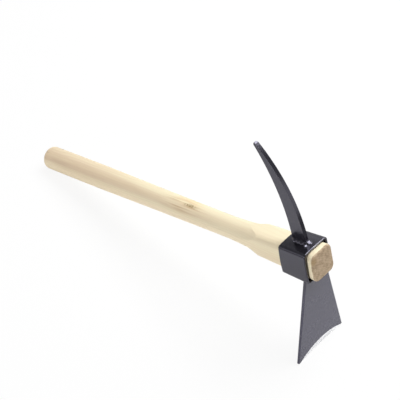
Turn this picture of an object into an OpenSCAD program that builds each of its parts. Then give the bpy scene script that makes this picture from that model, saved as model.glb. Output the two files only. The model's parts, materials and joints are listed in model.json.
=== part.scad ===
// Hoe-and-pick hand tool. A wooden handle drops through a square tapered eye. A hoe blade is
// welded under the eye and a curved pick tine on top of it.
// The sub-parts are drawn in the tool's own frame: X runs forward along the axis of the handle,
// Z points to the tine, and the origin is on that axis in the front plane of the eye.
// stance() then stands the tool on its cutting edge and its butt, with the base centre at the origin.

/* [Handle] */
// Length of the handle from the butt to the front end
handle_len = 457; // [380:1:600]
// Diameter of the straight grip
grip_d = 30.4; // [24:0.1:40]
// Length of the straight grip, measured from the butt
grip_len = 115; // [60:1:200]
// Radius of the rounded edge of the butt
butt_round = 4.5; // [2:0.5:7]
// Diameter of the shaft at its thinnest
waist_d = 25.8; // [20:0.1:40]
// Distance of the thinnest place behind the eye
waist_set = 90; // [75:1:140]
// Diameter of the shaft where the turned shoulder starts
shoulder_d = 28.8; // [22:0.1:40]
// Length of the turned shoulder
shoulder_len = 15; // [8:1:25]
// Length of the squared neck between the shoulder and the eye
neck_len = 39; // [20:1:45]
// Radius of the long corners of the squared wood at the front of the eye
tang_round = 8; // [3:0.5:10]
// How far the wood stands out of the front of the eye
end_proud = 7; // [4:0.5:15]
// Chamfer round the front end of the wood
end_chamfer = 1; // [0.5:0.5:3.5]

/* [Eye] */
// Room on each side for the shaft to pass through the rear end of the eye
pass_room = 1.2; // [0.5:0.1:5]
// Length of the eye along the handle
eye_len = 37; // [25:1:60]
// Thickness of the eye's wall
eye_wall = 2.5; // [1.5:0.1:3]
// How much narrower the eye is at the rear than at the front
eye_taper = 2.2; // [1:0.1:3]
// Outside radius of the eye's long corners at the front
eye_round = 5; // [4:0.5:8]
// Clearance between the wood and the eye on each side
eye_fit = 0.1; // [0.05:0.05:0.5]

/* [Pick tine] */
// Thickness of the tine across the tool
tine_t = 5; // [3:0.5:10]
// Depth of the tine's root along the handle
tine_depth = 18; // [10:0.5:22]
// Depth of the tine at its blunt tip
tine_tip = 3.8; // [1:0.1:8]
// Distance of the tine's root behind the front of the eye
tine_set = 10.5; // [6:0.5:14]
// Height of the tip above the axis of the handle
tine_rise = 133; // [80:1:160]
// Radius of the tine's inner curve, which faces the handle
tine_rear_r = 245; // [190:1:320]
// Height above the axis at which both curves start upright
tine_spring = 10; // [0:1:15]

/* [Hoe blade] */
// Length of the blade from the underside of the eye to the cutting edge
blade_len = 109.5; // [70:0.5:160]
// Width of the blade at the eye
blade_top_w = 35.5; // [25:0.5:38]
// Width of the blade at the cutting edge
blade_edge_w = 80; // [50:1:120]
// Thickness of the blade
blade_t = 3; // [2:0.1:4]
// Angle by which the blade leans towards the handle
blade_lean = 6; // [0:0.5:12]
// Distance of the blade's front face behind the front of the eye
blade_set = 5; // [4:0.5:12]
// Radius of the two lower corners of the blade
blade_round = 2; // [1:0.5:12]
// Height of the ground bevel at the middle of the cutting edge
bevel_len = 10.5; // [4:0.1:15]
// Thickness left at the middle of the cutting edge
edge_t = 0.5; // [0.2:0.1:1]

/* [Welds] */
// Leg of the bead round the tine
tine_weld_leg = 4.5; // [2:0.1:6]
// Leg of the two beads along the blade
blade_weld_leg = 3; // [2:0.1:4]
// Distance of the blade's beads from the sides of the blade
weld_inset = 1.5; // [1:0.1:5]

/* [Hidden] */

// Facets of the large curves, of the turned wood and of the small rounds
curve_fn = 360;
turned_fn = 96;
round_fn = 32;
// Length by which a cut runs past what it cuts
overrun = 1;

// Outside width of the eye at the front, which lets the thickest part of the shaft through at the rear
eye_w = max(grip_d, waist_d, shoulder_d) + 2 * (pass_room + eye_wall) + eye_taper;
// Half width of the eye's outside at a place along the axis
eye_slope = eye_taper / 2 / eye_len;
function eye_half(x) = eye_w / 2 + x * eye_slope;
// Half width of the hole in the eye, and of the wood that fits it
function bore_half(x) = eye_half(x) - eye_wall;
function tang_half(x) = bore_half(x) - eye_fit;
// Distance of the squared wood's rounded corners from the axis
function corner_r(x) = (tang_half(x) - tang_round) * sqrt(2) + tang_round;

// Places along the handle
grip_r = grip_d / 2;
waist_r = waist_d / 2;
shoulder_r = shoulder_d / 2;
butt_x = end_proud - handle_len;
grip_end_x = butt_x + grip_len;
tang_end_x = end_proud - end_chamfer;
shoulder_top_x = -eye_len - neck_len;
shoulder_x = shoulder_top_x - shoulder_len;
waist_x = -eye_len - waist_set;

// Root of the tine on top of the eye
tine_front_x = -tine_set;
tine_rear_x = tine_front_x - tine_depth;
// How far each curve has swept back at the tip, and the radius that takes the outer one there
tine_climb = tine_rise - tine_spring;
rear_sweep = tine_rear_r - sqrt(tine_rear_r ^ 2 - tine_climb ^ 2);
front_sweep = rear_sweep + tine_depth - tine_tip;
tine_front_r = (tine_climb ^ 2 + front_sweep ^ 2) / (2 * front_sweep);
// Middle and slant of the blunt tip, between the two curves
tip_x = tine_front_x - front_sweep - tine_tip / 2;
tip_slant = asin(tine_climb / tine_front_r);

// Front face of the blade at the eye, and the two long lines of its lower end
blade_top = [-blade_set, -eye_half(-blade_set)];
blade_down = [-sin(blade_lean), -cos(blade_lean)];
blade_out = [cos(blade_lean), -sin(blade_lean)];
front_edge = blade_top + blade_len * blade_down;
back_edge = front_edge - blade_t * blade_out;
back_top = blade_top - blade_t * blade_out;
// Circle in the front face that bounds the ground bevel
bevel_r = ((blade_edge_w / 2) ^ 2 + bevel_len ^ 2) / (2 * bevel_len);
bevel_slope = bevel_len / (blade_t - edge_t);

// Slope of the handle when the tool stands on the back line of the edge and on the butt
butt_rest = [butt_x + butt_round, butt_round - grip_r];
rest_run = back_edge - butt_rest;
pitch = atan2(-rest_run[1], rest_run[0]) - asin(butt_round / norm(rest_run));
floor_z = back_edge[0] * sin(pitch) + back_edge[1] * cos(pitch);
reach_x = front_edge[0] * cos(pitch) - front_edge[1] * sin(pitch);
tail_x = butt_rest[0] * cos(pitch) + butt_rest[1] * sin(pitch) - butt_round;
mid_x = (reach_x + tail_x) / 2;

// Stands a piece of the tool on the floor
module stance() {
    translate([-mid_x, 0, -floor_z])
        rotate([0, -pitch, 0])
            children();
}

// Lays what is drawn upward along the axis of the handle, starting at x
module along_handle(x) {
    translate([x, 0, 0])
        rotate([0, 90, 0])
            children();
}

// Raises an outline drawn in X and Z to a plate across the tool
module across_tool(thickness) {
    rotate([90, 0, 0])
        linear_extrude(thickness, center = true)
            children();
}

module rounded_square(half, r) {
    inner = half - r;
    square([2 * half, 2 * inner], center = true);
    square([2 * inner, 2 * half], center = true);
    for (sx = [-1, 1], sy = [-1, 1])
        translate([sx * inner, sy * inner])
            circle(r, $fn = round_fn);
}

// Square block with rounded long corners between two places along the handle
module tapered_block(x0, half0, x1, half1, round1) {
    growth = half1 / half0;
    along_handle(x0)
        linear_extrude(x1 - x0, scale = growth)
            rounded_square(half0, round1 / growth);
}

module eye_block() {
    tapered_block(-eye_len, eye_half(-eye_len), 0, eye_half(0), eye_round);
}

// Handle as it leaves the lathe, from the butt to the front end. The squared wood is only
// rounded at its corners, which the largest part of this shape meets.
module turned_wood() {
    along_handle(0)
        rotate_extrude($fn = turned_fn) {
            polygon([
                [0, butt_x],
                [grip_r - butt_round, butt_x],
                [grip_r, butt_x + butt_round],
                [grip_r, grip_end_x],
                [waist_r, waist_x],
                [shoulder_r, shoulder_x],
                [corner_r(shoulder_top_x), shoulder_top_x],
                [corner_r(tang_end_x), tang_end_x],
                [corner_r(tang_end_x) - end_chamfer, end_proud],
                [0, end_proud]
            ]);
            translate([grip_r - butt_round, butt_x + butt_round])
                circle(butt_round, $fn = round_fn);
        }
}

// Side view that squares the wood from the shoulder forward and leaves the shaft round
module squared_outline() {
    clear = grip_r + overrun;
    half_start = tang_half(shoulder_x);
    half_end = tang_half(tang_end_x);
    polygon([
        [butt_x - overrun, -clear],
        [shoulder_x, -clear],
        [shoulder_x, -half_start],
        [tang_end_x, -half_end],
        [end_proud, end_chamfer - half_end],
        [end_proud, half_end - end_chamfer],
        [tang_end_x, half_end],
        [shoulder_x, half_start],
        [shoulder_x, clear],
        [butt_x - overrun, clear]
    ]);
}

module handle() {
    color("burlywood")
        stance()
            intersection() {
                turned_wood();
                across_tool(eye_w)
                    squared_outline();
                rotate([90, 0, 0])
                    across_tool(eye_w)
                        squared_outline();
            }
}

module eye_socket() {
    hole_start = -eye_len - overrun;
    hole_round = eye_round - eye_wall;
    color("dimgray")
        stance()
            difference() {
                eye_block();
                tapered_block(hole_start, bore_half(hole_start), overrun, bore_half(overrun), hole_round);
            }
}

// Side view of the tine: the space between its two curves, cut off at the tip
module tine_outline() {
    difference() {
        translate([tine_front_x - tine_front_r, tine_spring])
            circle(tine_front_r, $fn = curve_fn);
        translate([tine_rear_x - tine_rear_r, tine_spring])
            circle(tine_rear_r, $fn = curve_fn);
        translate([tine_front_x - 2 * tine_front_r, tine_spring - 2 * tine_front_r])
            square(2 * tine_front_r);
        translate([tip_x, tine_rise])
            rotate(tip_slant)
                translate([-tine_front_r, 0])
                    square(2 * tine_front_r);
    }
}

module tine_bar() {
    across_tool(tine_t)
        tine_outline();
}

module pick_tine() {
    color("dimgray")
        stance()
            difference() {
                tine_bar();
                eye_block();
            }
}

// Front view of the blade, with the cutting edge on the X axis
module blade_outline() {
    half_edge = blade_edge_w / 2;
    half_top = blade_top_w / 2;
    flare = (half_edge - half_top) / blade_len;
    corner = atan2(blade_len, half_edge - half_top);
    tangent = blade_round / tan(corner / 2);
    side_x = half_edge - tangent * cos(corner);
    side_y = tangent * sin(corner);
    top_y = blade_len + eye_wall;
    top_x = half_top - flare * eye_wall;
    polygon([
        [tangent - half_edge, 0],
        [half_edge - tangent, 0],
        [side_x, side_y],
        [top_x, top_y],
        [-top_x, top_y],
        [-side_x, side_y]
    ]);
    for (side = [-1, 1])
        translate([side * (half_edge - tangent), blade_round])
            circle(blade_round, $fn = round_fn);
}

// Plate of the blade in place under the eye, with its ground bevel
module blade_plate() {
    translate([back_edge[0], 0, back_edge[1]])
        rotate([0, blade_lean, 0])
            rotate([90, 0, 90])
                difference() {
                    linear_extrude(blade_t)
                        blade_outline();
                    translate([0, bevel_len - bevel_r, edge_t])
                        cylinder(
                            h = blade_t - edge_t + overrun,
                            r1 = bevel_r - bevel_len,
                            r2 = bevel_r + overrun * bevel_slope,
                            $fn = curve_fn
                        );
                }
}

// Beads along the top of the blade, in front of it and behind it, which melt into one another
module blade_beads() {
    bead_len = blade_top_w - 2 * weld_inset;
    for (corner = [blade_top, back_top])
        translate([corner[0], 0, corner[1]])
            rotate([90, 0, 0])
                cylinder(h = bead_len, r = blade_weld_leg, center = true, $fn = round_fn);
}

module hoe_blade() {
    color("slategray")
        stance()
            difference() {
                blade_plate();
                eye_block();
                blade_beads();
            }
}

// Bead round the root of the tine, on top of the eye
module tine_weld() {
    color("dimgray")
        stance()
            difference() {
                hull()
                    for (x = [tine_rear_x, tine_front_x], side = [-1, 1])
                        translate([x, side * tine_t / 2, eye_half(x)])
                            sphere(tine_weld_leg, $fn = round_fn);
                eye_block();
                tine_bar();
            }
}

module blade_weld() {
    color("dimgray")
        stance()
            difference() {
                blade_beads();
                eye_block();
            }
}

handle();
eye_socket();
pick_tine();
hoe_blade();
tine_weld();
blade_weld();
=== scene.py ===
import json
import math
import bpy
import bmesh
from mathutils import Matrix, Vector, noise


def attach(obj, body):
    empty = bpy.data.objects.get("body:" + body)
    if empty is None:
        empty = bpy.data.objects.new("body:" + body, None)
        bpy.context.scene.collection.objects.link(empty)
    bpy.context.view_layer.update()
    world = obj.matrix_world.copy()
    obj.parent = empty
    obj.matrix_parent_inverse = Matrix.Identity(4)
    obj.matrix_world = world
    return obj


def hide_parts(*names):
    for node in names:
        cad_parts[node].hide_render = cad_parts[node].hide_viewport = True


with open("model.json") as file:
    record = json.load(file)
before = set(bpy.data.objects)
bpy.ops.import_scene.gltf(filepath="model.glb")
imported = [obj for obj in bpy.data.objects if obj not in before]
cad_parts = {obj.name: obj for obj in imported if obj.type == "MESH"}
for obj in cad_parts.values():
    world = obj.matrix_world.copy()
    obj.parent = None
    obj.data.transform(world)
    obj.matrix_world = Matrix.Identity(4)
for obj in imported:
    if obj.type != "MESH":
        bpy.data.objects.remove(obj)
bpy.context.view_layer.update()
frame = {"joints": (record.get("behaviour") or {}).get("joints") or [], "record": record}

scene = bpy.context.scene
scene.view_settings.view_transform = "Standard"

# Sizes of the tool are in mm in its own frame: x forward along the handle, y across,
# z up to the tine, zero on the handle's axis at the front of the eye
mm = 0.001
hair = 0.01       # places nearer than this count as the same
mergeGap = 0.002  # vertices nearer than this become one
noiseMiddle = 0.5
gripMiddle = -390.25
drawAxis = Vector(frame["joints"][0]["axis"]).normalized()
gripMount = next(m for m in frame["record"]["mounts"] if m["name"] == "grip")
across = Vector((0, 1, 0))
upward = drawAxis.cross(across)
toolPlace = Vector(gripMount["pos_m"]) - drawAxis * gripMiddle * mm
toolFrame = (Matrix.Translation(toolPlace)
             @ Matrix((drawAxis, across, upward)).transposed().to_4x4()
             @ Matrix.Scale(mm, 4))


class Socket:  # an output of a node, so that shader maths reads as maths
    def __init__(self, tree, out=None):
        self.tree = tree
        self.out = out

    def add(self, kind, settings={}, sockets={}, out=0):
        node = self.tree.nodes.new("ShaderNode" + kind)
        for key, value in settings.items():
            setattr(node, key, value)
        for key, value in sockets.items():
            if isinstance(value, Socket):
                self.tree.links.new(value.out, node.inputs[key])
            else:
                node.inputs[key].default_value = value
        return Socket(self.tree, node.outputs[out] if node.outputs else None)

    def outputs(self, *keys):
        # Several outputs of the node that this one comes from
        return [Socket(self.tree, self.out.node.outputs[key]) for key in keys]

    def maths(self, operation, a, b=0.0):
        return self.add("Math", {"operation": operation}, {0: a, 1: b})

    def vectorMaths(self, operation, a, b=(0, 0, 0), out=0):
        return self.add("VectorMath", {"operation": operation}, {0: a, 1: b}, out)

    def __add__(self, other):
        return self.maths("ADD", self, other)

    def __sub__(self, other):
        return self.maths("SUBTRACT", self, other)

    def __rsub__(self, other):
        return self.maths("SUBTRACT", other, self)

    def __mul__(self, other):
        return self.maths("MULTIPLY", self, other)

    def __truediv__(self, other):
        return self.maths("DIVIDE", self, other)

    __radd__ = __add__
    __rmul__ = __mul__


def newMaterial(name):
    material = bpy.data.materials.new(name)
    material.use_nodes = True
    material.node_tree.nodes.clear()
    return material, Socket(material.node_tree)


def placeIn(root, placeFrame):
    # Object coordinates turned into mm in the frame of a piece
    place, turn, size = placeFrame.inverted().decompose()
    spot = root.add("TexCoord", out="Object")
    return root.add("Mapping", {"vector_type": "POINT"},
                    {"Vector": spot, "Location": place, "Rotation": turn.to_euler(), "Scale": size})


def splitUp(root, spot):
    return root.add("SeparateXYZ", {}, {0: spot}).outputs(0, 1, 2)


def rayKinds(root):
    # Whether the camera sees a place directly, in gloss or through something clear
    return root.add("LightPath").outputs("Is Camera Ray", "Is Glossy Ray", "Is Transmission Ray")


def stretch(root, spot, factors):
    return root.vectorMaths("MULTIPLY", spot, factors)


def grainNoise(root, spot, fineness, detail, rough):
    # The fineness is one number, or three where the pattern is drawn out along the tool
    if isinstance(fineness, tuple):
        spot, fineness = stretch(root, spot, fineness), 1.0
    return root.add("TexNoise", {}, {"Vector": spot, "Scale": fineness, "Detail": detail, "Roughness": rough})


def grainNoises(root, spot, finish):
    return {name: grainNoise(root, spot, *pattern) for name, pattern in finish["patterns"].items()}


def spread(root, value, low, high, toLow=0.0, toHigh=1.0):
    return root.add("MapRange", {"interpolation_type": "SMOOTHSTEP"},
                    {"Value": value, "From Min": low, "From Max": high, "To Min": toLow, "To Max": toHigh})


def shown(root, finish, name, value):
    return spread(root, value, *finish["spans"][name])


def weigh(marks, shares, start=0.0):
    return sum((marks[name] * share for name, share in shares.items()), start)


def blendColour(root, share, first, second):
    first = (*first, 1) if isinstance(first, tuple) else first
    second = (*second, 1) if isinstance(second, tuple) else second
    return root.add("Mix", {"data_type": "RGBA", "blend_type": "MIX"}, {0: share, 6: first, 7: second}, 2)


def bumps(root, finish, height):
    return root.add("Bump", {},
                    {"Strength": finish["bump"], "Distance": finish["bumpDepth"], "Height": height})


def finishMaterial(root, shader):
    root.add("OutputMaterial", {}, {"Surface": shader})


def newObject(name, data):
    thing = bpy.data.objects.new(name, data)
    scene.collection.objects.link(thing)
    return thing


def aimAt(thing, aim):
    thing.rotation_euler = (Vector(aim) - thing.location).to_track_quat("-Z", "Y").to_euler()


def toMesh(name, bm, placeFrame, materials):
    bmesh.ops.remove_doubles(bm, verts=bm.verts, dist=mergeGap)
    bmesh.ops.recalc_face_normals(bm, faces=bm.faces)
    bmesh.ops.transform(bm, matrix=placeFrame, verts=bm.verts)
    mesh = bpy.data.meshes.new(name)
    bm.to_mesh(mesh)
    bm.free()
    for material in materials:
        mesh.materials.append(material)
    return mesh


def carve(name, mesh, cutterMesh, operation):
    # One solid cut by another; the faces of the cut keep the cutter's material
    piece = newObject(name + "Whole", mesh)
    cutter = newObject(name + "Cutter", cutterMesh)
    cut = piece.modifiers.new("cut", "BOOLEAN")
    cut.operation = operation
    cut.object = cutter
    cut.solver = "EXACT"
    cut.material_mode = "TRANSFER"
    result = bpy.data.meshes.new_from_object(piece.evaluated_get(bpy.context.evaluated_depsgraph_get()))
    for used in (piece, cutter):
        oldMesh = used.data
        bpy.data.objects.remove(used)
        bpy.data.meshes.remove(oldMesh)
    return result


def softenShading(mesh, angle):
    bm = bmesh.new()
    bm.from_mesh(mesh)
    for face in bm.faces:
        face.smooth = True
    for edge in bm.edges:
        edge.smooth = len(edge.link_faces) == 2 and edge.calc_face_angle(0) < math.radians(angle)
    bm.to_mesh(mesh)
    bm.free()


def roundEdges(piece, width, segments, angle):
    soft = piece.modifiers.new("roundEdges", "BEVEL")
    soft.width = width * mm
    soft.segments = segments
    soft.limit_method = "ANGLE"
    soft.angle_limit = math.radians(angle)
    soft.harden_normals = True
    soft.miter_outer = "MITER_ARC"


def finishPiece(name, mesh, body, node):
    mesh.name = name
    piece = newObject(name, mesh)
    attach(piece, body)
    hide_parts(node)
    print("piece", name, len(mesh.polygons), "faces")
    return piece


def bevelOff(bm, geom, offset, segments, affect):
    bmesh.ops.bevel(bm, geom=geom, offset=offset, offset_type="OFFSET", segments=segments,
                    profile=0.5, affect=affect, material=-1)


def allOf(bm):
    return bm.verts[:] + bm.edges[:] + bm.faces[:]


def ofKind(made, kind):
    return [g for g in made["geom"] if isinstance(g, kind)]


def thicken(bm, way):
    # Pulls the faces drawn so far into a solid
    made = bmesh.ops.extrude_face_region(bm, geom=bm.faces[:])
    bmesh.ops.translate(bm, vec=way, verts=ofKind(made, bmesh.types.BMVert))


def roundedSquare(bm, half, corner, segments, place):
    # A filled square across the handle with round corners
    facing = Matrix.Translation((place, 0, 0)) @ Matrix.Rotation(math.pi / 2, 4, "Y")
    made = bmesh.ops.create_circle(bm, cap_ends=True, segments=4, radius=half * math.sqrt(2),
                                   matrix=facing @ Matrix.Rotation(math.pi / 4, 4, "Z"))
    bevelOff(bm, made["verts"], corner, segments, "VERTICES")
    return bm.faces[:][0]


def roundedPlate(bm, endHalf, farHalf, length, corner, cornerSteps, low, high):
    # A plate from y 0, where its corners are round, up to its length, between two heights
    bmesh.ops.create_grid(bm, x_segments=1, y_segments=1, size=1)
    for vert in bm.verts:
        far = vert.co.y > 0
        vert.co = (math.copysign(farHalf if far else endHalf, vert.co.x), length if far else 0, low)
    bevelOff(bm, [v for v in bm.verts if v.co.y < hair], corner, cornerSteps, "VERTICES")
    thicken(bm, (0, 0, high - low))


def pullFace(bm, face, place, share):
    # Extrudes a face across the handle to another place, and scales it there
    made = bmesh.ops.extrude_face_region(bm, geom=[face])
    verts = ofKind(made, bmesh.types.BMVert)
    was = verts[0].co.x
    bmesh.ops.translate(bm, vec=(place - was, 0, 0), verts=verts)
    bmesh.ops.scale(bm, vec=(1, share, share), verts=verts)
    return ofKind(made, bmesh.types.BMFace)[0]


# Camera, with its places in metres

cameraView = dict(place=(0.61861, -0.64092, 0.95840), aim=(0.0708, -0.0320, 0.1512), lens=94.57, sensor=36)

cameraData = bpy.data.cameras.new("photoCamera")
cameraData.sensor_width = cameraView["sensor"]
cameraData.lens = cameraView["lens"]
camera = newObject("photoCamera", cameraData)
camera.location = cameraView["place"]
aimAt(camera, cameraView["aim"])
scene.camera = camera

# Floor and light, in metres

studio = dict(
    # In gloss the floor is a painted pool of light: white near the tool, a painted dark further out
    floorSize=12.0, floorColour=(0.89, 0.89, 0.89), paintedFalloffColour=(0.20, 0.20, 0.205), white=(1, 1, 1),
    seenShare=0.90, mirroredShare=0.10,  # how much of the floor shows as plain white
    paintedPoolMiddle=(0.10, -0.05, 0.0), paintedPoolEdge=(0.30, 0.42),  # where gloss mirrors the floor as white
    worldColour=(0.24, 0.24, 0.245), seenColour=(0.93, 0.93, 0.93),
    backdropTop=(0.31, 0.41),  # gloss mirrors a white backdrop up to this height
    aim=(0.08, 0.0, 0.10),
    lamps=dict(  # a place, two sides and a power
        keyLamp=((0.22, 0.97, 1.84), (1.35, 1.35), 47.0),
        fillLamp=((0.1, -1.9, 0.27), (1.8, 0.5), 14.0),
        topLamp=((-0.30, 0.35, 2.2), (1.6, 1.6), 2.0)),
)


def makeFloor():
    bm = bmesh.new()
    bmesh.ops.create_grid(bm, x_segments=2, y_segments=2, size=studio["floorSize"] / 2)
    mesh = bpy.data.meshes.new("floor")
    bm.to_mesh(mesh)
    bm.free()
    material, root = newMaterial("paleFloor")
    seen, mirrored, through = rayKinds(root)
    spot = root.add("TexCoord", out="Object")
    # Painted pool of light: reflections show the floor darkening with distance from the middle of the pool
    away = root.vectorMaths("DISTANCE", spot, studio["paintedPoolMiddle"], "Value")
    far = spread(root, away, *studio["paintedPoolEdge"]) * mirrored
    plainColour = blendColour(root, far, studio["floorColour"], studio["paintedFalloffColour"])
    whiteColour = blendColour(root, far, studio["white"], studio["paintedFalloffColour"])
    plain = root.add("BsdfDiffuse", {}, {"Color": plainColour})
    white = root.add("Emission", {}, {"Color": whiteColour, "Strength": 1.0})
    share = (seen + through) * studio["seenShare"] + mirrored * studio["mirroredShare"]
    finishMaterial(root, root.add("MixShader", {}, {0: share, 1: plain, 2: white}))
    mesh.materials.append(material)
    newObject("floor", mesh)


def makeLamp(name, place, size, power):
    data = bpy.data.lights.new(name, "AREA")
    data.shape = "RECTANGLE"
    data.size, data.size_y = size
    data.energy = power
    lamp = newObject(name, data)
    lamp.location = place
    aimAt(lamp, studio["aim"])


def makeWorld():
    world = bpy.data.worlds.new("studio")
    scene.world = world
    world.use_nodes = True
    world.node_tree.nodes.clear()
    root = Socket(world.node_tree)
    seen, mirrored, through = rayKinds(root)
    height = splitUp(root, root.add("TexCoord", out="Object"))[2]
    low = spread(root, height, *studio["backdropTop"], 1.0, 0.0)
    colour = blendColour(root, low * mirrored, studio["worldColour"], studio["white"])
    colour = blendColour(root, seen + through, colour, studio["seenColour"])
    background = root.add("Background", {}, {"Color": colour, "Strength": 1.0})
    root.add("OutputWorld", {}, {"Surface": background})


makeFloor()
makeWorld()
for lampName, settings in studio["lamps"].items():
    makeLamp(lampName, *settings)
print("stage", "floor, lamps and camera")

# Wood of the handle

wood = dict(
    colours=dict(
        pale=(0.86, 0.735, 0.515), deep=(0.70, 0.54, 0.35), rose=(0.72, 0.54, 0.40),
        neck=(0.91, 0.84, 0.60), streakAndShadeBand=(0.69, 0.52, 0.355), amber=(0.86, 0.64, 0.36),
        streak=(0.60, 0.42, 0.24), knot=(0.29, 0.19, 0.07), rimShade=(0.07, 0.055, 0.045),
        endPale=(0.59, 0.45, 0.30), endDeep=(0.22, 0.135, 0.07), stain=(0.40, 0.26, 0.11)),
    patterns=dict(  # the fineness along x, y and z, the detail and the roughness of each noise
        sway=((0.006, 0.03, 0.03), 3.0, 0.5), cloud=((0.012, 0.07, 0.07), 2.0, 0.5),
        band=((0.005, 0.16, 0.16), 3.0, 0.55), strand=((0.016, 0.26, 0.26), 1.0, 0.5),
        fibre=((0.035, 1.9, 1.9), 4.0, 0.62), fine=((0.12, 6.0, 6.0), 2.0, 0.5),
        speck=((0.5, 1.4, 1.4), 3.0, 0.5), pore=((0.3, 1.3, 1.3), 4.0, 0.7),
        blotch=((0.1, 0.22, 0.22), 3.0, 0.6)),
    spans=dict(  # where a mark begins and ends, and its values there if not nothing and one
        lateFrom=(0.45, 0.96), lateTo=(0.965, 1.0, 1.0, 0.0), fibre=(0.42, 0.75), cloud=(0.40, 0.72),
        band=(0.48, 0.64), spot=(0.25, 1.25, 1.0, 0.0), knot=(0.40, 0.58), streak=(0.40, 0.56),
        # neckLitTop is painted light: the neck paler towards its top
        amber=(0.30, 0.60), neck=(-370.0, -190.0), neckLitTop=(0.0, 12.0, 0.22, 0.60),
        neckFront=(-2.0, 1.0, 0.0, 0.25), streakAndShadeBand=(0.86, 0.99), streakAndShadeEnd=(-190.0, -110.0, 1.0, 0.5),
        # the painted shade line where the rim of the eye meets the wood
        rimShadeFrom=(-2.0, -1.0), rimShadeTo=(0.5, 1.5, 1.0, 0.0), rimShadeTop=(8.0, 16.0, 0.0, 1.1),
        pore=(0.48, 0.68), blotch=(0.38, 0.68), stain=(3.5, 9.0, 1.0, 0.0), sawn=(6.1, 7.5),
        butt=(-449.8, -447.5, 0.35, 0.0)),
    wander=dict(  # how far a noise moves the edge of a mark
        neck=40.0, streakAndShadeBand=0.10, rimShade=0.6, stain=5.0, sawnPore=0.9, sawnBlotch=1.6),
    pith=(-38.0, -52.0), pithSway=(7.0, 9.0), ringStep=2.6,
    spots=dict(  # the noise that breaks a mark up, its place, and how fast it fades along x, y and z
        knot=("speck", (-182.5, -4.2, 12.7), (0.085, 0.33, 0.33)),
        streak=("strand", (-195.0, -7.0, 11.3), (0.026, 0.11, 0.11)),
        amber=("strand", (-187.0, 1.0, 13.3), (0.040, 0.12, 0.12))),
    # the side of the painted shade band on the shaft, its least share and how much its streaks add
    streakAndShadeSide=(0.0, -0.643, 0.766), streakAndShadeLeast=0.30, streakAndShadeStrand=0.45,
    grainShares=dict(late=0.34, fibre=0.36),
    layers=[  # a mark, its share and its colour, from the bottom up
        ("grain", 1.0, "deep"), ("cloud", 0.22, "deep"), ("band", 0.30, "rose"), ("neck", 1.0, "neck"),
        ("streakAndShadeBand", 1.0, "streakAndShadeBand"), ("amber", 0.6, "amber"), ("streak", 0.9, "streak"), ("knot", 0.85, "knot"),
        ("rimShade", 0.8, "rimShade")],
    endShares=dict(late=0.16, pore=0.42, blotch=0.40), stainPlace=(7.0, -13.5, 10.5), stainShare=0.6,
    roughness=0.42, roughShares=dict(fine=0.10, late=0.05, sawn=0.25), ior=1.45,
    bump=0.35, bumpDepth=0.0004,
    bumpShares=dict(fibre=0.5, fine=0.3, late=-0.25, knot=-0.4, sawnPore=-0.8),
)


def nearSpot(root, spot, place, fading):
    # One at a place in the wood, falling to nothing round it
    off = root.vectorMaths("SUBTRACT", spot, place)
    reach = root.vectorMaths("LENGTH", stretch(root, off, fading), out="Value")
    return shown(root, wood, "spot", reach)


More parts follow.
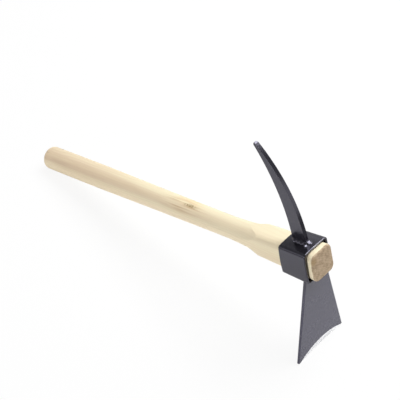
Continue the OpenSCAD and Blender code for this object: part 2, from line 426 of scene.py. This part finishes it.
def makeWood():
    material, root = newMaterial("paleWood")
    spot = placeIn(root, toolFrame)
    along, left, top = splitUp(root, spot)
    noises = grainNoises(root, spot, wood)
    sway, strand, pore, blotch = (noises[name] for name in ("sway", "strand", "pore", "blotch"))
    colours, wander = wood["colours"], wood["wander"]
    marks = {name: shown(root, wood, name, noises[name])
             for name in ("fibre", "cloud", "band", "pore", "blotch")}
    # Growth rings round a pith outside the handle, bent a little along its length
    sideOff = left - wood["pith"][0] + sway * wood["pithSway"][0]
    topOff = top - wood["pith"][1] + sway * wood["pithSway"][1]
    reach = root.maths("SQRT", sideOff * sideOff + topOff * topOff)
    year = root.maths("FRACT", reach / wood["ringStep"])
    marks["late"] = shown(root, wood, "lateFrom", year) * shown(root, wood, "lateTo", year)
    marks["grain"] = weigh(marks, wood["grainShares"])
    # A small pin knot, the streaks that run past it and the amber wood over it
    for name, (pattern, place, fading) in wood["spots"].items():
        marks[name] = nearSpot(root, spot, place, fading) * shown(root, wood, name, noises[pattern])
    # The wood is paler towards the neck and on the proud end, and painted light makes the neck paler towards
    # its top
    neck = shown(root, wood, "neck", along + sway * wander["neck"]) * shown(root, wood, "neckLitTop", top)
    marks["neck"] = neck + shown(root, wood, "neckFront", along)
    # A band of darker, streaky wood along one side of the shaft: partly wood streaks, partly painted shade
    # where the shaft turns from the light
    outward = root.vectorMaths("NORMALIZE", stretch(root, spot, (0, 1, 1)))
    facing = root.vectorMaths("DOT_PRODUCT", outward, wood["streakAndShadeSide"], "Value")
    bandPlace = facing + (sway - noiseMiddle) * wander["streakAndShadeBand"]
    streakAndShadeBand = shown(root, wood, "streakAndShadeBand", bandPlace) * shown(root, wood, "streakAndShadeEnd", along)
    marks["streakAndShadeBand"] = streakAndShadeBand * (wood["streakAndShadeLeast"] + strand * wood["streakAndShadeStrand"])
    # Painted shade: a thin dark line on the wood where the rim of the eye meets it, fainter on top
    rimShadeEnd = along + blotch * wander["rimShade"] + shown(root, wood, "rimShadeTop", top)
    marks["rimShade"] = shown(root, wood, "rimShadeFrom", along) * shown(root, wood, "rimShadeTo", rimShadeEnd)
    colour = colours["pale"]
    for name, share, tone in wood["layers"]:
        colour = blendColour(root, marks[name] * share, colour, colours[tone])
    # End grain on the sawn front and on the butt, with a brown patch by one corner
    endColour = blendColour(root, weigh(marks, wood["endShares"]), colours["endPale"], colours["endDeep"])
    stainReach = root.vectorMaths("DISTANCE", spot, wood["stainPlace"], "Value")
    stain = shown(root, wood, "stain", stainReach + blotch * wander["stain"])
    endColour = blendColour(root, stain * wood["stainShare"], endColour, colours["stain"])
    sawnPlace = along + pore * wander["sawnPore"] + blotch * wander["sawnBlotch"]
    sawn = shown(root, wood, "sawn", sawnPlace)
    colour = blendColour(root, sawn + shown(root, wood, "butt", along), colour, endColour)
    relief = {**noises, "late": marks["late"], "knot": marks["knot"], "sawn": sawn, "sawnPore": sawn * pore}
    shader = root.add("BsdfPrincipled", {}, {
        "Base Color": colour, "Roughness": weigh(relief, wood["roughShares"], wood["roughness"]),
        "Normal": bumps(root, wood, weigh(relief, wood["bumpShares"])), "IOR": wood["ior"]})
    finishMaterial(root, shader)
    return material


paleWood = makeWood()

handle = dict(
    profile=[(-450, 0), (-450, 15.2),  # the place and the radius, from the butt to past the front
             (-400, 15.2), (-338, 15.05), (-300, 14.55), (-240, 13.85), (-190, 13.4), (-150, 13.05),
             (-131, 12.92), (-120, 13.0), (-106, 13.6), (-99, 14.0), (-95, 14.28), (-92, 14.55), (-89, 14.98),
             (-86, 15.55), (-82, 16.45), (-76, 18.1), (-58, 23), (-52, 27), (12, 27), (12, 0)],
    buttRound=4.5, buttSteps=8, steps=128,
    frontHalf=17.4, taper=0.02973, corner=8.2, cornerSteps=10, squareFrom=-91.0,
    roomShare=2, roomEnd=-470,  # the cutter's room for the round shaft
    endAt=7.0, endHalf=16.9, endRound=2.2, endSteps=3, endSlant=1.0, endAside=-0.4,
    rimHalf=16.6, waistBack=6.0, fullHeight=0.7,  # the height loses less than the width does
    softAngle=11,
)


def makeHandle():
    # The turned shaft
    bm = bmesh.new()
    line = [bm.verts.new((x, 0, r)) for x, r in handle["profile"]]
    edges = [bm.edges.new(pair) for pair in zip(line, line[1:])]
    bmesh.ops.spin(bm, geom=line + edges, cent=(0, 0, 0), axis=(1, 0, 0), angle=math.tau,
                   steps=handle["steps"], use_merge=True)
    bmesh.ops.remove_doubles(bm, verts=bm.verts, dist=mergeGap)
    buttAt, buttRadius = handle["profile"][1]
    rim = [e for e in bm.edges
           if all(abs(v.co.x - buttAt) < hair and v.co.yz.length > buttRadius / 2 for v in e.verts)]
    bevelOff(bm, rim, handle["buttRound"], handle["buttSteps"], "EDGES")
    turned = toMesh("turnedShaft", bm, toolFrame, [paleWood])
    # The squared wood in front of the shoulder, with room for the shaft behind it
    bm = bmesh.new()
    endAt, startAt = handle["endAt"], handle["squareFrom"]
    endHalf, startHalf = (handle["frontHalf"] + handle["taper"] * x for x in (endAt, startAt))
    face = roundedSquare(bm, endHalf, handle["corner"], handle["cornerSteps"], endAt)
    face = pullFace(bm, face, startAt, startHalf / endHalf)
    face = pullFace(bm, face, startAt, handle["roomShare"])
    pullFace(bm, face, handle["roomEnd"], 1)
    front = [e for e in bm.edges if all(abs(v.co.x - endAt) < hair for v in e.verts)]
    bevelOff(bm, front, handle["endRound"], handle["endSteps"], "EDGES")
    squared = toMesh("squaredWood", bm, toolFrame, [paleWood])
    mesh = carve("handle", turned, squared, "INTERSECT")
    # The wood is a little narrower at the rim of the eye than behind it, and its end is sawn out of square
    bm = bmesh.new()
    bm.from_mesh(mesh)
    bpy.data.meshes.remove(mesh)
    bmesh.ops.transform(bm, matrix=toolFrame.inverted(), verts=bm.verts)
    waistBack = handle["waistBack"]
    for place in (-waistBack, 0):
        bmesh.ops.bisect_plane(bm, geom=allOf(bm), plane_co=(place, 0, 0), plane_no=(1, 0, 0))
    rimShare, endShare = handle["rimHalf"] / handle["frontHalf"], handle["endHalf"] / endHalf
    for vert in bm.verts:
        x, y, z = vert.co
        if x > -waistBack:
            inside = 1 + min(x, 0) / waistBack
            out = max(x, 0) / endAt
            share = 1 + (rimShare - 1) * inside + (endShare - rimShare) * out
            tall = share + (1 - share) * handle["fullHeight"]
            sawn = handle["endSlant"] * (0.5 - z / endHalf / 2) * out
            vert.co = (x + sawn, y * share + handle["endAside"] * out, z * tall)
    for face in bm.faces:
        face.material_index = 0
    mesh = toMesh("handleWood", bm, toolFrame, [paleWood])
    softenShading(mesh, handle["softAngle"])
    finishPiece("handleWood", mesh, "handle", "handle")


makeHandle()

# Paint and bare steel of the head

paint = dict(
    base=(0.0085, 0.008, 0.0105), dust=(0.022, 0.021, 0.027), film=(0.037, 0.0355, 0.056),
    bare=(0.56, 0.56, 0.57),
    patterns=dict(peel=(0.45, 2.0, 0.5), dust=(2.6, 3.0, 0.65), flow=(0.06, 2.0, 0.5)),
    spans=dict(  # as in the wood
        dust=(0.55, 0.75, 0.0, 0.35), dustRough=(0.56, 0.72), film=(-45.0, -22.0, 1.0, 0.0),
        wornBack=(-0.45, -0.15), wornOver=(19.1, 19.7), wornFlow=(0.45, 0.62)),
    filmLeast=0.75, filmFlow=0.4, wornWander=0.9, wornDust=0.3,
    roughness=0.16, roughShares=dict(flow=0.06, dustRough=0.10, scuffed=0.08, worn=0.12),
    bump=0.15, bumpDepth=0.0002, bumpShares=dict(peel=0.8, dust=0.06),
    tint=(0.83, 0.81, 1.0), ior=1.80,
)
steel = dict(
    bright=(0.95, 0.95, 0.96), dull=(0.80, 0.80, 0.82),
    patterns=dict(lines=((1.2, 5.0, 0.25), 4.0, 0.7), stain=(0.2, 3.0, 0.5)),
    spans=dict(lines=(0.35, 0.7, 0.0, 0.5), stain=(0.5, 0.8, 0.0, 0.3)),
    roughness=0.28, roughLines=0.15, bump=0.3, bumpDepth=0.0002,
)


def makePaint():
    material, root = newMaterial("blackPaint")
    spot = placeIn(root, toolFrame)
    along, _, top = splitUp(root, spot)
    noises = grainNoises(root, spot, paint)
    dust, flow = noises["dust"], noises["flow"]
    colour = blendColour(root, shown(root, paint, "dust", dust), paint["base"], paint["dust"])
    # The blade is duller than the eye
    scuffed = shown(root, paint, "film", top)
    filmShare = scuffed * (paint["filmLeast"] + flow * paint["filmFlow"])
    colour = blendColour(root, filmShare, colour, paint["film"])
    # The top front edge of the eye is rubbed bare
    rimPlace = along + (dust - noiseMiddle) * paint["wornWander"]
    onRim = shown(root, paint, "wornBack", rimPlace) * shown(root, paint, "wornOver", top)
    worn = onRim * shown(root, paint, "wornFlow", flow + dust * paint["wornDust"])
    colour = blendColour(root, worn, colour, paint["bare"])
    dustRough = shown(root, paint, "dustRough", dust)
    relief = {**noises, "dustRough": dustRough, "scuffed": scuffed, "worn": worn}
    shader = root.add("BsdfPrincipled", {}, {
        "Base Color": colour, "Roughness": weigh(relief, paint["roughShares"], paint["roughness"]),
        "Metallic": worn, "Normal": bumps(root, paint, weigh(relief, paint["bumpShares"])),
        "IOR": paint["ior"], "Specular Tint": (*paint["tint"], 1)})
    finishMaterial(root, shader)
    return material


def makeSteel():
    material, root = newMaterial("groundSteel")
    noises = grainNoises(root, placeIn(root, toolFrame), steel)
    dulled = shown(root, steel, "lines", noises["lines"]) + shown(root, steel, "stain", noises["stain"])
    shader = root.add("BsdfPrincipled", {}, {
        "Base Color": blendColour(root, dulled, steel["bright"], steel["dull"]), "Metallic": 1.0,
        "Roughness": steel["roughness"] + noises["lines"] * steel["roughLines"],
        "Normal": bumps(root, steel, noises["lines"])})
    finishMaterial(root, shader)
    return material


blackPaint = makePaint()
groundSteel = makeSteel()
print("stage", "wood, paint and steel finishes")

# Eye, with its rounding as a width, segments and the least angle of an edge that is rounded

eye = dict(frontHalf=20.0, rearHalf=18.9, length=37.0, corner=5.0, cornerSteps=8, wall=2.5,
           crown=0.6, crownCuts=9, softAngle=30, rounding=(1.15, 4, 40))


def makeEye():
    bm = bmesh.new()
    face = roundedSquare(bm, eye["frontHalf"], eye["corner"], eye["cornerSteps"], 0.0)
    pullFace(bm, face, -eye["length"], eye["rearHalf"] / eye["frontHalf"])
    ends = [f for f in bm.faces if len(f.verts) > 4]
    bmesh.ops.inset_individual(bm, faces=ends, thickness=eye["wall"], use_even_offset=True)
    loops = [e for f in ends for e in f.edges]
    bmesh.ops.delete(bm, geom=ends, context="FACES_ONLY")
    bmesh.ops.bridge_loops(bm, edges=loops)
    # The four walls stand a little proud in the middle, as bent plate does
    flat = 1 - eye["corner"] / eye["frontHalf"]
    outside = (eye["frontHalf"] + eye["rearHalf"] - eye["wall"]) / 2
    rims = []
    for edge in bm.edges:
        one, two = (v.co for v in edge.verts)
        isLevel = abs(one.x - two.x) < hair
        if isLevel and edge.calc_length() > eye["corner"] and ((one + two) / 2).yz.length > outside:
            rims.append(edge)
    before = set(bm.verts)
    bmesh.ops.subdivide_edges(bm, edges=rims, cuts=eye["crownCuts"], use_grid_fill=True)
    for vert in set(bm.verts) - before:
        y, z = abs(vert.co.y), abs(vert.co.z)
        rise = eye["crown"] * (1 - (min(y, z) / (max(y, z) * flat)) ** 2)
        side = 1 if y > z else 2
        vert.co[side] += math.copysign(rise, vert.co[side])
    mesh = toMesh("eyeSocket", bm, toolFrame, [blackPaint])
    softenShading(mesh, eye["softAngle"])
    piece = finishPiece("eyeSocket", mesh, "head", "eye_socket")
    roundEdges(piece, *eye["rounding"])


makeEye()

# Tine

tine = dict(
    thick=5.0, frontX=-10.5, rearX=-28.5, spring=10.0, frontRadius=183.55, rearRadius=245.0, steps=48,
    seat=19.3, tipX=-59.71, tipZ=133.0, tipSlant=42.07, tipOver=1.1, sparePastTip=6.0,
    noseHalf=2.53, noseRound=0.998, noseSteps=8, noseLong=200, noseSide=90,  # a plate with a round end
    dressedAt=(-57.83, 0.0, 133.03), dressedFacing=(0.51, 0.0, 0.86),  # the small flat ground on the tip
    softAngle=11, rounding=(1.25, 4, 40),
)


def makeTine():
    bm = bmesh.new()
    spring = tine["spring"]
    rise = tine["tipZ"] + tine["sparePastTip"] - spring
    sides = []
    for x, radius in ((tine["frontX"], tine["frontRadius"]), (tine["rearX"], tine["rearRadius"])):
        before = set(bm.edges)
        start = bm.verts.new((x, -tine["thick"] / 2, spring))
        bmesh.ops.spin(bm, geom=[start], cent=(x - radius, 0, spring), axis=(0, -1, 0),
                       angle=math.asin(rise / radius), steps=tine["steps"])
        sides += [e for e in bm.edges if e not in before]
    bmesh.ops.bridge_loops(bm, edges=sides)
    slant = math.radians(tine["tipSlant"])
    ahead = Vector((-math.sin(slant), 0, math.cos(slant)))
    tip = Vector((tine["tipX"], 0, tine["tipZ"])) + ahead * tine["tipOver"]
    cuts = ((tip, ahead), (tine["dressedAt"], tine["dressedFacing"]), ((0, 0, tine["seat"]), (0, 0, -1)))
    for place, away in cuts:
        bmesh.ops.bisect_plane(bm, geom=allOf(bm), plane_co=place, plane_no=away, clear_outer=True)
    thicken(bm, (0, tine["thick"], 0))
    bar = toMesh("tineBar", bm, toolFrame, [blackPaint])
    # The tip is round across the bar, so the bar is cut by a long plate with a round end
    noseTurn = Matrix((across, -ahead, across.cross(-ahead))).transposed().to_4x4()
    bm = bmesh.new()
    noseHalf, noseSide = tine["noseHalf"], tine["noseSide"]
    roundedPlate(bm, noseHalf, noseHalf, tine["noseLong"], noseHalf * tine["noseRound"], tine["noseSteps"],
                 -noseSide, noseSide)
    nose = toMesh("roundNose", bm, toolFrame @ Matrix.Translation(tip) @ noseTurn, [blackPaint])
    mesh = carve("tine", bar, nose, "INTERSECT")
    softenShading(mesh, tine["softAngle"])
    piece = finishPiece("pickTine", mesh, "head", "pick_tine")
    roundEdges(piece, *tine["rounding"])


makeTine()

# Blade

blade = dict(
    length=109.5, topHalf=17.75, edgeHalf=40.0, thick=3.0, topExtra=1.0, overTop=1.5,
    corner=1.6, cornerSteps=8, lean=6.0, back=(-19.4294, -128.4379),
    bevel=10.5, edgeThick=0.5, coneSteps=360, coneOver=1.0, wholeGrind=1.5, grindBlock=(100, 24, 10),
    softAngle=8, rounding=(0.2, 2, 30),
)
lean = math.radians(blade["lean"])
bladeFrame = toolFrame @ Matrix((
    (0, math.sin(lean), math.cos(lean), blade["back"][0]),
    (1, 0, 0, 0),
    (0, math.cos(lean), -math.sin(lean), blade["back"][1]),
    (0, 0, 0, 1)))


def makeBlade():
    # In the blade's frame x runs across, y up from the edge and z out of the front face
    bm = bmesh.new()
    flare = (blade["edgeHalf"] - blade["topHalf"]) / blade["length"]
    topY = blade["length"] + blade["overTop"]
    topX = blade["topHalf"] - flare * blade["overTop"]
    roundedPlate(bm, blade["edgeHalf"], topX, topY, blade["corner"], blade["cornerSteps"], 0, blade["thick"])
    for vert in bm.verts:
        if vert.co.z < hair:
            vert.co.z -= blade["topExtra"] * vert.co.y / topY  # the plate thickens a little towards the eye
    plate = toMesh("bladePlate", bm, bladeFrame, [blackPaint])
    # The grinding cone whose side leaves the crescent
    bm = bmesh.new()
    depth = blade["thick"] - blade["edgeThick"]
    arc = (blade["edgeHalf"] ** 2 + blade["bevel"] ** 2) / (2 * blade["bevel"])
    slope = blade["bevel"] / depth
    height = depth + blade["coneOver"]
    middle = Matrix.Translation((0, blade["bevel"] - arc, blade["edgeThick"] + height / 2))
    bmesh.ops.create_cone(bm, cap_ends=True, segments=blade["coneSteps"], radius1=arc - blade["bevel"],
                          radius2=arc + slope * blade["coneOver"], depth=height, matrix=middle)
    grinder = toMesh("grindingCone", bm, bladeFrame, [groundSteel])
    mesh = carve("blade", plate, grinder, "DIFFERENCE")
    # A short straight grind along the whole edge, out to both corners
    bm = bmesh.new()
    tilt = math.atan2(depth, blade["wholeGrind"])
    atEdge = Matrix.Translation((0, 0, blade["edgeThick"])) @ Matrix.Rotation(tilt, 4, "X")
    block = atEdge @ Matrix.Diagonal((*blade["grindBlock"], 1))
    bmesh.ops.create_cube(bm, size=1, matrix=block @ Matrix.Translation((0, 0, 0.5)))
    mesh = carve("blade", mesh, toMesh("straightGrind", bm, bladeFrame, [groundSteel]), "DIFFERENCE")
    softenShading(mesh, blade["softAngle"])
    piece = finishPiece("hoeBlade", mesh, "head", "hoe_blade")
    roundEdges(piece, *blade["rounding"])


makeBlade()

# Welds

bead = dict(sides=8, flat=0.80, step=1.0, leastSteps=3, endRings=4, endClosing=0.95,
            smoothing=2, softAngle=180)
tineBead = dict(radius=4.3, ripple=0.04, wave=1.3, jitter=0.30, lump=0.17, depth=17.9,
                seat=19.1, insetLong=0.6, insetSide=0.4)
bladeBead = dict(radius=3.0, ripple=0.05, wave=1.5, jitter=0.14, lump=0.35, depth=18.2,
                 half=16.2, rows=((-5.0, -19.85), (-7.98, -19.54)))
frontLumps = dict(
    facing=(0.52, -0.05, 0.85), rough=0.24, grain=0.75,
    lumps=[  # flat lumps where the bead was ended, each a place and three radii
        ((-8.0, 0.2, 20.75), (4.6, 4.2, 1.5)),
        ((-5.9, 0.2, 20.35), (2.4, 1.8, 0.95)),
        ((-6.3, 1.9, 20.6), (1.7, 1.5, 0.9)),
        ((-8.0, -6.2, 20.4), (2.9, 2.6, 1.2))],
)


def turnTo(ahead):
    return Vector(ahead).to_track_quat("Z", "Y").to_matrix().to_4x4()


def beadAlong(bm, path, closed, settings):
    # A row of rings along a path, with the ripple and the lumps of a weld
    rings = []
    last = len(path) - 1
    for number, (place, ahead) in enumerate(path):
        ripple = settings["ripple"] * math.sin(number * settings["wave"])
        swell = 1 + ripple + settings["jitter"] * noise.noise(place * settings["lump"])
        fromEnd = len(path) if closed else min(number, last - number)
        closing = (1 - min(fromEnd / bead["endRings"], 1)) ** 2 * bead["endClosing"]
        radius = settings["radius"] * swell * math.sqrt(1 - closing)
        isEnd = not closed and number in (0, last)
        made = bmesh.ops.create_circle(bm, cap_ends=isEnd, segments=bead["sides"], radius=radius,
                                       matrix=Matrix.Translation(place) @ turnTo(ahead))
        bmesh.ops.scale(bm, vec=[bead["flat"]] * 3, space=Matrix.Translation(-place),
                        verts=made["verts"][1::2])
        rings.append(list({edge for v in made["verts"] for edge in v.link_edges}))
    for one, two in list(zip(rings, rings[1:])) + ([(rings[-1], rings[0])] if closed else []):
        bmesh.ops.bridge_loops(bm, edges=one + two)


def finishWeld(name, bm, node):
    mesh = toMesh(name, bm, toolFrame, [blackPaint])
    softenShading(mesh, bead["softAngle"])
    piece = finishPiece(name, mesh, "head", node)
    smooth = piece.modifiers.new("roundBeads", "SUBSURF")
    smooth.levels = bead["smoothing"]
    smooth.render_levels = bead["smoothing"]


def makeTineWeld():
    bm = bmesh.new()
    x0, x1 = tine["rearX"] + tineBead["insetLong"], tine["frontX"] - tineBead["insetLong"]
    half = tine["thick"] / 2 - tineBead["insetSide"]
    around = ((x0, -half), (x1, -half), (x1, half), (x0, half))
    corners = [Vector((x, y, tineBead["seat"])) for x, y in around]
    path = []
    for here, there in zip(corners, corners[1:] + corners[:1]):
        run = there - here
        count = max(bead["leastSteps"], round(run.length / bead["step"]))
        path += [(here + run * (i + 0.5) / count, run.normalized()) for i in range(count)]
    beadAlong(bm, path, True, tineBead)
    turn = turnTo(frontLumps["facing"])
    for place, radii in frontLumps["lumps"]:
        lump = Matrix.Translation(place) @ turn @ Matrix.Diagonal((*radii, 1))
        made = bmesh.ops.create_icosphere(bm, subdivisions=2, radius=1, matrix=lump)
        for vert in made["verts"]:
            uneven = frontLumps["rough"] * noise.noise(vert.co * frontLumps["grain"])
            vert.co += (vert.co - Vector(place)) * uneven
    for vert in bm.verts:  # the bead ends inside the wall, so the hole of the eye stays clear
        vert.co.z = max(vert.co.z, tineBead["depth"])
    finishWeld("tineWeld", bm, "tine_weld")


def makeBladeWeld():
    bm = bmesh.new()
    half = bladeBead["half"]
    count = round(2 * half / bead["step"])
    for x, z in bladeBead["rows"]:
        path = [(Vector((x, -half + 2 * half * i / count, z)), across) for i in range(count + 1)]
        beadAlong(bm, path, False, bladeBead)
    for vert in bm.verts:
        vert.co.z = min(vert.co.z, -bladeBead["depth"])
    finishWeld("bladeWeld", bm, "blade_weld")


makeTineWeld()
makeBladeWeld()
print("stage", "head welded")
